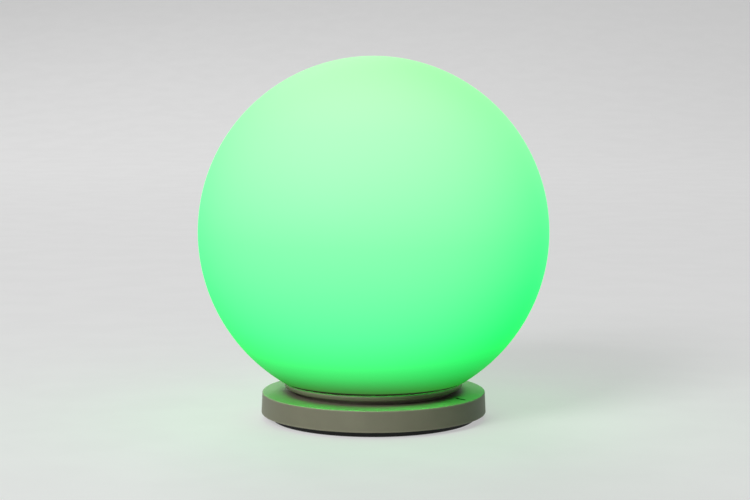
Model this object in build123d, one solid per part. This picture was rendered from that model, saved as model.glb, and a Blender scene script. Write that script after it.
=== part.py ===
from build123d import *
import os
from math import hypot, sqrt

# Garden globe light: an opal glass ball lamp that lifts off a low round charging dock.
# Millimetres, +Z up. The origin is the middle of the dock's foot ring, on the surface it stands on.
# Heights add up from that surface, and radii add up from the battery outwards.

# ---- Battery and its room ------------------------------------------------------------------
CELL_DIAMETER = 18.0  # a standard round lithium cell
CELL_LENGTH = 35.0
CELL_CHAMFER = 0.4
CELL_ROOM = 4.2  # from the cell's corner to the housing wall, for the leads and screw bosses
CRADLE_WIDTH = 14.0
CRADLE_INSET = 3.0  # the cradle stops this far short of each end of the cell
CRADLE_FLOOR = 1.0
CRADLE_RISE = 3.0  # height of its cheeks beside the cell
CRADLE_FIT = 0.1
LEAD_RADIUS = 0.6
LEAD_SPREAD = 2.0  # each lead's distance from the middle line
LEAD_REACH = 2.0  # how far the leads stand out from the cell's end
LEAD_BEND = 1.3

# ---- Glass ball ----------------------------------------------------------------------------
GLOBE_RADIUS = 70.0
GLOBE_WALL = 2.5
SHOULDER_OVERHANG = 1.5  # the flat shoulder reaches past the collar's rim
SHOULDER_ROUND = 1.2
NECK_ROUND = 0.6  # fire-polished end of the neck
NECK_GAP = 0.2  # cement line between the neck and the collar's spigot

# ---- Seal between the ball and the collar ----------------------------------------------------
SEAL_WALL = 0.8
SEAL_LIP = 1.05  # height of the dark line that shows
SEAL_INSET = 0.7  # the lip stays this far inside the collar's rim
SEAL_FIT = 0.05

# ---- Collar ----------------------------------------------------------------------------------
COLLAR_WALL = 1.2
COLLAR_STEP = 2.25  # from the barrel's lower end up to the rim's underside
COLLAR_RIM = 2.3  # height of the rim
COLLAR_OVERHANG = 4.6  # the rim stands out from the barrel
COLLAR_TAPER = 0.9  # the rim is this much narrower at its underside
COLLAR_LIP = 0.3  # chamfer that catches the light
SPIGOT_RISE = 4.0  # the spigot inside the neck, above the flange
STANDOFF_RADIUS = 2.4
STANDOFF_HEIGHT = 3.0
FLANGE_LAND = 0.5  # flange left inside the standoffs

# ---- Key and index mark ------------------------------------------------------------------------
INDEX_ANGLE = -30.0  # degrees from +X
KEY_ANGLE = 150.0  # the key is on the far side from the mark
KEY_WIDTH = 4.0
KEY_DEPTH = 1.2  # the key stands out from the barrel
KEY_HEIGHT = 1.2
KEY_FIT = 0.5
INDEX_GAP = 3.4  # from the collar's rim to the middle of the mark
INDEX_LENGTH = 5.4
INDEX_WIDTH = 1.3
INDEX_DEPTH = 0.4
INDEX_SLANT = -20.0  # the mark leans this much from the radial direction

# ---- Inner housing and the light inside the ball ---------------------------------------------
HOUSING_WALL = 1.5
HOUSING_FIT = 0.2  # housing in the collar's spigot
HOUSING_CLEAR = 0.5  # over the cell
BOSS_RADIUS = 3.2
BOSS_BITE = 0.4  # each boss runs into the housing's wall
SPREADER_THICKNESS = 1.0
SPREADER_EDGE = 2.4  # metal left outside the ribbon
LIGHT_BOARD_THICKNESS = 1.2
LIGHT_BOARD_INSET = 0.5
LED_SIZE = 5.0
LED_HEIGHT = 1.6
LED_CIRCLE = 12.0
LED_COUNT = 6  # round the middle one
COVER_DOME_HEIGHT = 11.0
COVER_DOME_WALL = 1.2
COVER_DOME_INSET = 1.5  # flange left outside the dome
RIBBON_WIDTH = 6.0
RIBBON_THICKNESS = 0.4
RIBBON_GAP = 1.5  # from the cell's end
RIBBON_FIT = 0.3

# ---- Control board, switch, receiving coil -----------------------------------------------------
BOARD_THICKNESS = 1.2
BOARD_FIT = 0.4
COIL_THICKNESS = 1.2
COIL_FIT = 0.4
SHIELD_THICKNESS = 0.8
SWITCH_SIZE = 6.0
CONTROL_LAYOUT = [  # x, y, x size, y size, height of each part on the control board
    (0.0, 15.5, 7.0, 7.0, 1.0),
    (-7.2, 15.0, 4.4, 5.0, 3.0),
    (7.0, 14.6, 4.0, 4.0, 2.5),
    (0.0, -15.4, 6.0, 5.0, 0.9),
    (6.6, -14.6, 5.0, 4.4, 4.2),
    (-6.8, -14.6, 3.2, 4.6, 1.6),
]
SWITCH_SLACK = 0.1  # left between the stem and the switch at the end of the button's travel

# ---- Bottom cover, pads, button, screws ----------------------------------------------------------
COVER_WALL = 2.0
COVER_FIT = 0.2
PAD_RADIUS = 3.2
PAD_PROUD = 0.5
PAD_SUNK = 0.5
PAD_EDGE = 1.8
BUTTON_RADIUS = 4.8
BUTTON_FIT = 0.2
BUTTON_SUNK = 0.2  # below flush with the cover
BUTTON_FLANGE = 1.6  # the flange reaches past the cap
BUTTON_FLANGE_THICKNESS = 0.6
BUTTON_TRAVEL = 0.8
BUTTON_ROUND = 0.4
STEM_RADIUS = 1.8
STEM_HEIGHT = 0.5
BUTTON_ROOM = 2.0  # from the flange to the coil
SCREW_RADIUS = 1.2
SCREW_BITE = 8.0  # into the housing's boss
SCREW_FIT = 0.05
SCREW_TIP_ROOM = 0.6
HEAD_RADIUS = 2.3
HEAD_HEIGHT = 1.2
HEAD_FIT = 0.3
HEAD_SUNK = 0.15
CROSS_LENGTH = 2.6
CROSS_WIDTH = 0.6
CROSS_DEPTH = 0.7

# ---- Dock ------------------------------------------------------------------------------------
FOOT_PROUD = 2.4
FOOT_SUNK = 1.0
FOOT_WIDTH = 5.0
FOOT_INSET = 1.8  # from the dock's inner wall
FOOT_FIT = 0.1
FOOT_ROUND = 0.4
DOCK_HEIGHT = 8.5
DOCK_LEDGE = 8.6  # flat top left outside the collar's rim
DOCK_DRAFT = 0.4  # the side is this much wider at its lower edge
DOCK_WALL = 2.0
DOCK_ROOF = 2.0
DOCK_ROUND = 0.4
RECESS_DEPTH = 1.0
RECESS_FIT = 0.4
BASE_WALL = 2.0
BASE_FIT = 0.15
DOCK_BOSS_RADIUS = 3.2
DOCK_BOSS_INSET = 1.3  # from the foot ring
DOCK_BITE = 3.7
RIB_THICKNESS = 1.0
RIB_DEPTH = 2.8
SEND_COIL_EDGE = 4.2  # the dock's coil reaches past the lamp's
COIL_RIM_WALL = 1.0  # moulded ring that centres the dock's coil
DOCK_BOARD_THICKNESS = 1.0
DOCK_BOARD_LIFT = 0.6
DOCK_BOARD_GAP = 1.3  # to the screw bosses
TONGUE_WIDTH = 13.0
TONGUE_GAP = 0.8
LOW_LAYOUT = [  # x, y, x size, y size, height of the low parts under the coil's shield
    (-8.0, 5.0, 6.0, 6.0, 0.8),
    (9.0, -3.0, 5.0, 5.0, 0.8),
    (-4.0, -10.0, 3.2, 1.8, 0.75),
    (3.5, -12.0, 3.2, 1.8, 0.75),
]
TONGUE_LAYOUT = [  # the same for the tall parts on the tongue, with y counted from the coil rim
    (0.0, 7.8, 5.2, 5.2, 2.0),
    (-3.6, 3.0, 3.2, 2.6, 1.8),
    (3.6, 3.0, 3.2, 2.6, 1.8),
]
POST_ANGLE = 30.0
POST_RADIUS = 1.6
POST_EDGE = 3.2
PIN_RADIUS = 0.9
PIN_FIT = 0.1
PIN_PROUD = 0.4
SOCKET_WIDTH = 7.6
SOCKET_HEIGHT = 2.6
SOCKET_DEPTH = 5.6
SOCKET_SET = 0.5  # behind the dock's side
SOCKET_FIT = 0.2
SOCKET_SKIN = 0.35
SOCKET_WALL = 1.0  # behind the mouth
SOCKET_TONGUE = 0.6

# ---- Radii, from the battery outwards --------------------------------------------------------
cell_reach = hypot(CELL_LENGTH, CELL_DIAMETER) / 2
housing_bore = cell_reach + CELL_ROOM
housing_radius = housing_bore + HOUSING_WALL
spigot_bore = housing_radius + HOUSING_FIT
spigot_radius = spigot_bore + COLLAR_WALL
neck_bore = spigot_radius + NECK_GAP
neck_radius = neck_bore + GLOBE_WALL
seal_bore = neck_radius + SEAL_FIT
seal_radius = seal_bore + SEAL_WALL
groove_radius = seal_radius + SEAL_FIT
barrel_radius = groove_radius + COLLAR_WALL
collar_radius = barrel_radius + COLLAR_OVERHANG
seal_lip_radius = collar_radius - SEAL_INSET
shoulder_radius = collar_radius + SHOULDER_OVERHANG
recess_radius = barrel_radius + RECESS_FIT
dock_radius = collar_radius + DOCK_LEDGE
dock_bore = dock_radius - DOCK_WALL
foot_radius = dock_bore - FOOT_INSET
foot_bore = foot_radius - FOOT_WIDTH
dock_screw_circle = foot_bore - DOCK_BOSS_INSET - DOCK_BOSS_RADIUS
dock_board_radius = dock_screw_circle - DOCK_BOSS_RADIUS - DOCK_BOARD_GAP
board_post_circle = dock_board_radius - POST_EDGE
tongue_end = dock_bore - TONGUE_GAP
socket_face = dock_radius - SOCKET_SET
boss_circle = housing_bore - BOSS_RADIUS + BOSS_BITE
board_radius = housing_bore - BOARD_FIT
flange_bore = boss_circle - STANDOFF_RADIUS - FLANGE_LAND
coil_radius = flange_bore - COIL_FIT
button_flange_radius = BUTTON_RADIUS + BUTTON_FLANGE
coil_bore = button_flange_radius + BUTTON_ROOM
send_coil_radius = coil_radius + SEND_COIL_EDGE
send_rim_bore = send_coil_radius + COIL_FIT / 2
send_rim_radius = send_rim_bore + COIL_RIM_WALL
cover_radius = spigot_bore - COVER_FIT
pad_circle = cover_radius - PAD_EDGE - PAD_RADIUS
ribbon_place = CELL_LENGTH / 2 + RIBBON_GAP + RIBBON_THICKNESS / 2
spreader_radius = ribbon_place + SPREADER_EDGE
light_board_radius = spreader_radius - LIGHT_BOARD_INSET

# ---- Heights, from the floor up ----------------------------------------------------------------
dock_bottom = FOOT_PROUD
base_top = dock_bottom + BASE_WALL
dock_board_bottom = base_top + DOCK_BOARD_LIFT
dock_board_top = dock_board_bottom + DOCK_BOARD_THICKNESS
socket_middle = dock_board_top + SOCKET_HEIGHT / 2
dock_plane = dock_bottom + DOCK_HEIGHT
roof_underside = dock_plane - DOCK_ROOF
send_coil_bottom = roof_underside - COIL_THICKNESS
send_shield_bottom = send_coil_bottom - SHIELD_THICKNESS
recess_floor = dock_plane - RECESS_DEPTH
lamp_bottom = recess_floor + PAD_PROUD
cover_top = lamp_bottom + COVER_WALL
flange_top = cover_top + COLLAR_WALL
groove_floor = lamp_bottom + COLLAR_WALL
neck_bottom = groove_floor + SEAL_WALL
rim_bottom = lamp_bottom + COLLAR_STEP
rim_top = rim_bottom + COLLAR_RIM
shoulder_height = rim_top + SEAL_LIP
globe_middle = shoulder_height + sqrt(GLOBE_RADIUS**2 - shoulder_radius**2)
spigot_top = flange_top + SPIGOT_RISE
coil_top = cover_top + COIL_THICKNESS
board_bottom = flange_top + STANDOFF_HEIGHT
board_top = board_bottom + BOARD_THICKNESS
button_bottom = lamp_bottom + BUTTON_SUNK
button_flange_top = cover_top + BUTTON_FLANGE_THICKNESS
stem_top = button_flange_top + STEM_HEIGHT
switch_bottom = stem_top + BUTTON_TRAVEL + SWITCH_SLACK
cell_height = board_top + CRADLE_FLOOR + CRADLE_FIT + CELL_DIAMETER / 2
housing_ceiling = cell_height + CELL_DIAMETER / 2 + HOUSING_CLEAR
housing_top = housing_ceiling + HOUSING_WALL
spreader_top = housing_top + SPREADER_THICKNESS
light_board_top = spreader_top + LIGHT_BOARD_THICKNESS

SCREW_ANGLE = 45.0  # the four screws of the lamp and of the dock stand on the diagonals
CUT = 1.0  # a cutting tool runs this far past the face that it opens
UPRIGHT = (Align.CENTER, Align.CENTER, Align.MIN)  # centred on the Z axis, standing on its lower face


# ---- Helpers -----------------------------------------------------------------------------------
def turned(outline, rounds=()):
    """Solid of revolution about Z. outline: (radius, height) corners; rounds: (corner, fillet radius)."""
    face = make_face(Polyline(*outline, close=True))
    for corner, radius in rounds:
        nearest = face.vertices().sort_by_distance(Vector(*outline[corner]))[0]
        face = fillet(nearest, radius)
    return revolve(Plane.XZ * face, Axis.Z)


def post(radius, bottom, top):
    """Upright cylinder on the Z axis between two heights."""
    return Pos(0, 0, bottom) * Cylinder(radius, top - bottom, align=UPRIGHT)


def ring(bore, radius, bottom, top):
    """Upright ring on the Z axis between two heights."""
    return post(radius, bottom, top) - post(bore, bottom - CUT, top + CUT)


def block(x_size, y_size, bottom, top):
    """Upright box centred on the Z axis between two heights."""
    return Pos(0, 0, bottom) * Box(x_size, y_size, top - bottom, align=UPRIGHT)


def around(circle, shape, count=4, start=SCREW_ANGLE):
    """Copies of a shape on a circle about Z."""
    return [place * shape for place in PolarLocations(circle, count, start)]


def screw(head_bottom, tip):
    """Pan-head screw standing head down, with a cross recess and a pointed tip."""
    head_top = head_bottom + HEAD_HEIGHT
    body = turned(
        [
            (0, head_bottom),
            (HEAD_RADIUS, head_bottom),
            (HEAD_RADIUS, head_top),
            (SCREW_RADIUS, head_top),
            (SCREW_RADIUS, tip - SCREW_RADIUS),
            (0, tip),
        ]
    )
    slot = block(CROSS_LENGTH, CROSS_WIDTH, head_bottom - CUT, head_bottom + CROSS_DEPTH)
    return body - slot - Rot(0, 0, 90) * slot


def shank_hole(bottom, top):
    """Tool for a clearance hole for a screw's shank that opens both faces."""
    return post(SCREW_RADIUS + 2 * SCREW_FIT, bottom - CUT, top + CUT)


def pilot_hole(bottom, depth):
    """Tool for the blind hole that a screw's thread bites into, open below."""
    return post(SCREW_RADIUS + SCREW_FIT, bottom - CUT, bottom + depth + SCREW_TIP_ROOM)


def head_hole(bottom, top):
    """Tool for a shank hole with a counterbore for the head, open below."""
    seat = bottom + HEAD_SUNK + HEAD_HEIGHT
    return post(HEAD_RADIUS + HEAD_FIT, bottom - CUT, seat) + shank_hole(bottom, top)


def chips(layout, bottom):
    """Boxes standing on a board. layout: (x, y, x size, y size, height)."""
    return [Pos(x, y, 0) * block(wide, deep, bottom, bottom + high) for x, y, wide, deep, high in layout]


# ---- The lamp ------------------------------------------------------------------------------------
def flask(radius, floor, neck, mouth):
    """Half-section of the ball, cut flat at the floor height, with a straight neck down to the mouth."""
    corner = (Align.MIN, Align.MIN)
    ball = Pos(0, globe_middle) * Circle(radius)
    above_floor = Pos(0, floor) * Rectangle(radius, 2 * radius, align=corner)
    return (ball & above_floor) + Pos(0, mouth) * Rectangle(neck, floor - mouth, align=corner)


def make_globe():
    """Blown glass ball with a flat turned-in shoulder and a short neck."""
    outside = flask(GLOBE_RADIUS, shoulder_height, neck_radius, neck_bottom)
    inside = flask(GLOBE_RADIUS - GLOBE_WALL, shoulder_height + GLOBE_WALL, neck_bore, neck_bottom - CUT)
    section = outside - inside
    rounds = [
        (shoulder_radius, shoulder_height, SHOULDER_ROUND),
        (neck_radius, neck_bottom, NECK_ROUND),
        (neck_bore, neck_bottom, NECK_ROUND),
        (neck_bore, shoulder_height + GLOBE_WALL, SHOULDER_ROUND),
    ]
    for radius, height, size in rounds:
        section = fillet(section.vertices().sort_by_distance(Vector(radius, height))[0], size)
    return revolve(Plane.XZ * section, Axis.Z)


def make_globe_seal():
    """Channel ring under the neck, with a lip between the shoulder and the collar's rim."""
    return turned(
        [
            (neck_bore, groove_floor),
            (seal_radius, groove_floor),
            (seal_radius, rim_top),
            (seal_lip_radius, rim_top),
            (seal_lip_radius, shoulder_height),
            (seal_bore, shoulder_height),
            (seal_bore, neck_bottom),
            (neck_bore, neck_bottom),
        ]
    )


def make_collar():
    """Barrel and rim that carry the ball: groove for the neck, spigot, screw standoffs and key."""
    rim = turned(
        [
            (flange_bore, cover_top),
            (spigot_bore, cover_top),
            (spigot_bore, lamp_bottom),
            (barrel_radius, lamp_bottom),
            (barrel_radius, rim_bottom),
            (collar_radius - COLLAR_TAPER, rim_bottom),
            (collar_radius, rim_top - COLLAR_LIP),
            (collar_radius - COLLAR_LIP, rim_top),
            (groove_radius, rim_top),
            (groove_radius, groove_floor),
            (spigot_radius, groove_floor),
            (spigot_radius, spigot_top),
            (spigot_bore, spigot_top),
            (spigot_bore, flange_top),
            (flange_bore, flange_top),
        ]
    )
    rim += around(boss_circle, post(STANDOFF_RADIUS, flange_top, board_bottom))
    rim -= around(boss_circle, shank_hole(cover_top, board_bottom))
    return rim + key(barrel_radius + KEY_DEPTH, KEY_WIDTH, lamp_bottom, lamp_bottom + KEY_HEIGHT)


def key(reach, width, bottom, top):
    """Block from inside the barrel's wall out to a radius, in the key's direction."""
    start = barrel_radius - COLLAR_WALL / 2
    bar = Pos((start + reach) / 2, 0, 0) * block(reach - start, width, bottom, top)
    return Rot(0, 0, KEY_ANGLE) * bar


def make_inner_housing():
    """Cup that stands on the collar's flange over the cell, with four screw bosses from its roof."""
    cup = turned(
        [
            (housing_bore, flange_top),
            (housing_radius, flange_top),
            (housing_radius, housing_top),
            (0, housing_top),
            (0, housing_ceiling),
            (housing_bore, housing_ceiling),
        ]
    )
    cup += around(boss_circle, post(BOSS_RADIUS, board_top, housing_ceiling))
    return cup - around(boss_circle, pilot_hole(board_top, SCREW_BITE)) - ribbon_slot()


def ribbon_slot():
    """Slot for the flat cable through the housing's roof and the heat spreader."""
    fit = 2 * RIBBON_FIT
    slot = block(RIBBON_THICKNESS + fit, RIBBON_WIDTH + fit, housing_ceiling - CUT, spreader_top + CUT)
    return Pos(-ribbon_place, 0, 0) * slot


def make_led_cover():
    """Shallow frosted dome over the light sources, with a flat flange on the housing's roof."""
    dome_radius = housing_radius - COVER_DOME_INSET
    dome_base = housing_top + COVER_DOME_WALL
    ball_radius = (dome_radius**2 + COVER_DOME_HEIGHT**2) / (2 * COVER_DOME_HEIGHT)
    ball_middle = dome_base + COVER_DOME_HEIGHT - ball_radius
    outer = Pos(0, 0, ball_middle) * Sphere(ball_radius)
    inner = Pos(0, 0, ball_middle) * Sphere(ball_radius - COVER_DOME_WALL)
    dome = outer & post(dome_radius, dome_base, dome_base + ball_radius)
    room = inner & post(dome_radius, housing_top - CUT, dome_base + ball_radius)
    return dome + post(housing_radius, housing_top, dome_base) - room


def make_heat_spreader():
    return post(spreader_radius, housing_top, spreader_top) - ribbon_slot()


def make_light_board():
    return post(light_board_radius, spreader_top, light_board_top)


def make_leds():
    """One light source in the middle and a circle of them round it."""
    led = block(LED_SIZE, LED_SIZE, light_board_top, light_board_top + LED_HEIGHT)
    return Part() + [led] + around(LED_CIRCLE, led, LED_COUNT, 0)


def make_light_ribbon():
    """Flat cable standing on the control board and ending under the light board."""
    return Pos(-ribbon_place, 0, 0) * block(RIBBON_THICKNESS, RIBBON_WIDTH, board_top, spreader_top)


def make_battery():
    """Round cell lying on its side, with its plus cap towards +X."""
    body = Cylinder(CELL_DIAMETER / 2, CELL_LENGTH, rotation=(0, 90, 0))
    body = chamfer(body.edges().filter_by(GeomType.CIRCLE), CELL_CHAMFER)
    return Pos(0, 0, cell_height) * body


def make_battery_cradle():
    """Saddle between the control board and the cell."""
    length = CELL_LENGTH - 2 * CRADLE_INSET
    saddle = block(length, CRADLE_WIDTH, board_top, board_top + CRADLE_FLOOR + CRADLE_RISE)
    room = Cylinder(CELL_DIAMETER / 2 + CRADLE_FIT, CELL_LENGTH + CUT, rotation=(0, 90, 0))
    return saddle - Pos(0, 0, cell_height) * room


def make_battery_leads():
    """Two wires that leave the cell's end and turn down to the control board."""
    start = CELL_LENGTH / 2
    turn = start + LEAD_REACH
    leads = Part()
    for y in (-LEAD_SPREAD, LEAD_SPREAD):
        corners = [(start, y, cell_height), (turn, y, cell_height), (turn, y, board_top)]
        path = FilletPolyline(*corners, radius=LEAD_BEND)
        leads += sweep(Plane(path @ 0, z_dir=path % 0) * Circle(LEAD_RADIUS), path)
    return leads


def make_control_board():
    """Round board clamped between the collar's standoffs and the housing's bosses."""
    holes = around(boss_circle, shank_hole(board_bottom, board_top))
    return post(board_radius, board_bottom, board_top) - holes


def make_control_parts():
    return Part() + chips(CONTROL_LAYOUT, board_top)


def make_button_switch():
    """Switch under the control board, over the button's stem."""
    return block(SWITCH_SIZE, SWITCH_SIZE, switch_bottom, board_bottom)


def make_receive_coil():
    return ring(coil_bore, coil_radius, cover_top, coil_top)


def make_receive_shield():
    return ring(coil_bore, coil_radius, coil_top, coil_top + SHIELD_THICKNESS)


def make_bottom_cover():
    """Closing plate with the button's hole, four counterbored screw holes and four pad pockets."""
    plate = post(cover_radius, lamp_bottom, cover_top)
    plate -= post(BUTTON_RADIUS + BUTTON_FIT, lamp_bottom - CUT, cover_top + CUT)
    plate -= around(boss_circle, head_hole(lamp_bottom, cover_top))
    return plate - around(pad_circle, post(PAD_RADIUS, lamp_bottom - CUT, lamp_bottom + PAD_SUNK), start=0)


def make_lamp_pads():
    pad = post(PAD_RADIUS, lamp_bottom - PAD_PROUD, lamp_bottom + PAD_SUNK)
    return Part() + around(pad_circle, pad, start=0)


def make_cover_screws():
    return Part() + around(boss_circle, screw(lamp_bottom + HEAD_SUNK, board_top + SCREW_BITE))


def make_power_button():
    """Cap with a flange that rests on the cover from inside, and a stem towards the switch."""
    return turned(
        [
            (0, button_bottom),
            (BUTTON_RADIUS, button_bottom),
            (BUTTON_RADIUS, cover_top),
            (button_flange_radius, cover_top),
            (button_flange_radius, button_flange_top),
            (STEM_RADIUS, button_flange_top),
            (STEM_RADIUS, stem_top),
            (0, stem_top),
        ],
        rounds=[(1, BUTTON_ROUND)],
    )


# ---- The dock ------------------------------------------------------------------------------------
def make_dock_top():
    """Moulded shell: recess with a key notch, index mark, coil rim, ribbed screw bosses and socket slot."""
    shell = turned(
        [
            (0, recess_floor),
            (recess_radius, recess_floor),
            (recess_radius, dock_plane),
            (dock_radius, dock_plane),
            (dock_radius + DOCK_DRAFT, dock_bottom),
            (dock_bore, dock_bottom),
            (dock_bore, roof_underside),
            (0, roof_underside),
        ],
        rounds=[(3, DOCK_ROUND), (4, DOCK_ROUND)],
    )
    shell += ring(send_rim_bore, send_rim_radius, send_shield_bottom, roof_underside)
    shell += around(dock_screw_circle, post(DOCK_BOSS_RADIUS, base_top, roof_underside))
    rib_length = dock_bore - dock_screw_circle
    rib = block(rib_length, RIB_THICKNESS, roof_underside - RIB_DEPTH, roof_underside)
    shell += around(dock_screw_circle, Pos(rib_length / 2, 0, 0) * rib)
    shell -= around(dock_screw_circle, pilot_hole(base_top, DOCK_BITE))
    shell -= key(barrel_radius + KEY_DEPTH + KEY_FIT, KEY_WIDTH + 2 * KEY_FIT, recess_floor, dock_plane + CUT)
    return shell - index_mark() - socket_slot()


def index_mark():
    """Short slanted groove in the dock's flat top that shows which way round the lamp stands."""
    groove = block(INDEX_LENGTH, INDEX_WIDTH, dock_plane - INDEX_DEPTH, dock_plane + CUT)
    return Rot(0, 0, INDEX_ANGLE) * Pos(collar_radius + INDEX_GAP, 0, 0) * Rot(0, 0, INDEX_SLANT) * groove


def socket_slot():
    """Slot through the rear wall in front of the socket."""
    half_height = SOCKET_HEIGHT / 2 + SOCKET_FIT
    width = SOCKET_WIDTH + 2 * SOCKET_FIT
    depth = dock_radius + DOCK_DRAFT + CUT - dock_bore
    slot = block(width, 2 * depth, socket_middle - half_height, socket_middle + half_height)
    return Pos(0, dock_bore + depth - CUT, 0) * slot


def make_dock_base():
    """Bottom plate with the foot ring's groove, counterbored screw holes, and posts under the board."""
    plate = post(dock_bore - BASE_FIT, dock_bottom, base_top)
    plate -= ring(foot_bore - FOOT_FIT, foot_radius + FOOT_FIT, dock_bottom - CUT, dock_bottom + FOOT_SUNK)
    plate -= around(dock_screw_circle, head_hole(dock_bottom, base_top))
    pin = post(POST_RADIUS, base_top, dock_board_bottom)
    pin += post(PIN_RADIUS, base_top, dock_board_top + PIN_PROUD)
    plate += around(board_post_circle, pin, start=POST_ANGLE)
    rest = block(SOCKET_WIDTH, SOCKET_DEPTH, base_top, dock_board_bottom)
    return plate + Pos(0, tongue_end - SOCKET_DEPTH / 2, 0) * rest


def make_foot_ring():
    """Rubber ring that the dock stands on, set in the base's groove."""
    return turned(
        [
            (foot_bore, 0),
            (foot_radius, 0),
            (foot_radius, dock_bottom + FOOT_SUNK),
            (foot_bore, dock_bottom + FOOT_SUNK),
        ],
        rounds=[(0, FOOT_ROUND), (1, FOOT_ROUND)],
    )


def make_transmit_coil():
    return ring(coil_bore, send_coil_radius, send_coil_bottom, roof_underside)


def make_transmit_shield():
    return post(send_coil_radius, send_shield_bottom, send_coil_bottom)


def make_dock_board():
    """Round board with a tongue back to the socket and holes for the base's pins."""
    board = post(dock_board_radius, dock_board_bottom, dock_board_top)
    tongue = block(TONGUE_WIDTH, tongue_end, dock_board_bottom, dock_board_top)
    hole = post(PIN_RADIUS + PIN_FIT, dock_board_bottom - CUT, dock_board_top + CUT)
    return board + Pos(0, tongue_end / 2, 0) * tongue - around(board_post_circle, hole, start=POST_ANGLE)


def make_dock_parts():
    low = chips(LOW_LAYOUT, dock_board_top)
    tall = chips(TONGUE_LAYOUT, dock_board_top)
    return Part() + low + [Pos(0, send_rim_radius, 0) * part for part in tall]


def make_usb_socket():
    """Power socket on the board's tongue, facing out through the rear wall."""
    mouth_width = SOCKET_WIDTH - 2 * SOCKET_SKIN
    tongue_width = mouth_width - 4 * SOCKET_SKIN
    bottom = dock_board_top
    top = bottom + SOCKET_HEIGHT
    half = SOCKET_TONGUE / 2
    case = block(SOCKET_WIDTH, SOCKET_DEPTH, bottom, top)
    case -= Pos(0, SOCKET_WALL, 0) * block(mouth_width, SOCKET_DEPTH, bottom + SOCKET_SKIN, top - SOCKET_SKIN)
    case += block(tongue_width, SOCKET_DEPTH - SOCKET_WALL, socket_middle - half, socket_middle + half)
    return Pos(0, socket_face - SOCKET_DEPTH / 2, 0) * case


def make_dock_screws():
    return Part() + around(dock_screw_circle, screw(dock_bottom + HEAD_SUNK, base_top + DOCK_BITE))


PIECES = {
    "globe": make_globe,
    "globe_seal": make_globe_seal,
    "collar": make_collar,
    "inner_housing": make_inner_housing,
    "led_cover": make_led_cover,
    "heat_spreader": make_heat_spreader,
    "light_board": make_light_board,
    "leds": make_leds,
    "light_ribbon": make_light_ribbon,
    "battery": make_battery,
    "battery_cradle": make_battery_cradle,
    "battery_leads": make_battery_leads,
    "control_board": make_control_board,
    "control_parts": make_control_parts,
    "button_switch": make_button_switch,
    "receive_coil": make_receive_coil,
    "receive_shield": make_receive_shield,
    "bottom_cover": make_bottom_cover,
    "lamp_pads": make_lamp_pads,
    "cover_screws": make_cover_screws,
    "power_button": make_power_button,
    "dock_top": make_dock_top,
    "dock_base": make_dock_base,
    "foot_ring": make_foot_ring,
    "transmit_coil": make_transmit_coil,
    "transmit_shield": make_transmit_shield,
    "dock_board": make_dock_board,
    "dock_parts": make_dock_parts,
    "usb_socket": make_usb_socket,
    "dock_screws": make_dock_screws,
}

os.makedirs("parts", exist_ok=True)
for name, make in PIECES.items():
    export_step(make(), f"parts/{name}.step")
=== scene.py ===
from math import cos, hypot, pi, radians

import bmesh
import bpy
from mathutils import Matrix, Vector


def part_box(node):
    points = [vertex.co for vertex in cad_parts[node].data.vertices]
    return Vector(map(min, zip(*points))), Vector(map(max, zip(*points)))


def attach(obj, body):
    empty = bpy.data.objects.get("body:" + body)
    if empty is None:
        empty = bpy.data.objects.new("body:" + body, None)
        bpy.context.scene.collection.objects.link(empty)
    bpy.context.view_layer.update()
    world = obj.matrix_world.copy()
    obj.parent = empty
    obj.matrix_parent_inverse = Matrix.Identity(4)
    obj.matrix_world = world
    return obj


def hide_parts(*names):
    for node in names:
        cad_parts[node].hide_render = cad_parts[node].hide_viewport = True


# Garden globe light: a glowing opal ball on its round charging dock, standing on a plain pale floor.
# Metres, +Z up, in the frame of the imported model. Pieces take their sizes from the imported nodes.

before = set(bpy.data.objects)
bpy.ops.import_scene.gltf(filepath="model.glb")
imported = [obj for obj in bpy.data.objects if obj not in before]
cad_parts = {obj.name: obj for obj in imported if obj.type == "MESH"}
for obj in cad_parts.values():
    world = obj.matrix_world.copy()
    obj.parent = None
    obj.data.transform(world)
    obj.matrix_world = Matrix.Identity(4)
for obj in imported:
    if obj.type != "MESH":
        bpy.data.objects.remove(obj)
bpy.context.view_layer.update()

MM = 0.001
ROUND_STEPS = 192  # faces round a turned piece
SMALL_STEPS = 48  # faces round a screw, pad or boss
TINY = 1e-6
SHARP_TURN = radians(35)  # faces that meet at more than this keep a crisp edge


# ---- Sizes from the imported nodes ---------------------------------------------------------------
def lowest(node):
    """Height of a node's underside."""
    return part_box(node)[0].z


def highest(node):
    """Height of a node's top."""
    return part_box(node)[1].z


def reach(node):
    """How far a node reaches along +X from the middle."""
    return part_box(node)[1].x


GLASS_WALL = 2.5 * MM
COLLAR_WALL = 1.2 * MM
CEMENT_GAP = 0.2 * MM
SEAL_WALL = 0.8 * MM
SEAL_LIP = 1.05 * MM
SEAL_FIT = 0.05 * MM
SHOULDER_OVERHANG = 1.5 * MM
SHOULDER_BEVEL = 0.35 * MM
NECK_BEVEL = 0.6 * MM
HOUSING_FIT = 0.2 * MM
RIM_HEIGHT = 2.3 * MM
RIM_TAPER = 0.9 * MM
FLANGE_WIDTH = 2.9 * MM
STANDOFF_RADIUS = 2.4 * MM
KEY_REACH = 1.2 * MM
KEY_WIDTH = 4.0 * MM
KEY_HEIGHT = 1.2 * MM
NOTCH_REACH = 1.7 * MM
NOTCH_WIDTH = 5.0 * MM
HEAD_RADIUS = 2.3 * MM
HEAD_HEIGHT = 1.2 * MM
HEAD_FIT = 0.3 * MM
SHANK_RADIUS = 1.2 * MM
SHANK_FIT = 0.1 * MM
THREAD_PITCH = 0.8 * MM
THREAD_DEPTH = 0.12 * MM
CROWN_RADIUS = 1.5 * MM  # the nearly flat middle of a screw's head
CROWN_DROP = 0.03 * MM
DOME_DROP = 0.35 * MM
CROSS_LENGTH = 2.6 * MM
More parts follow.
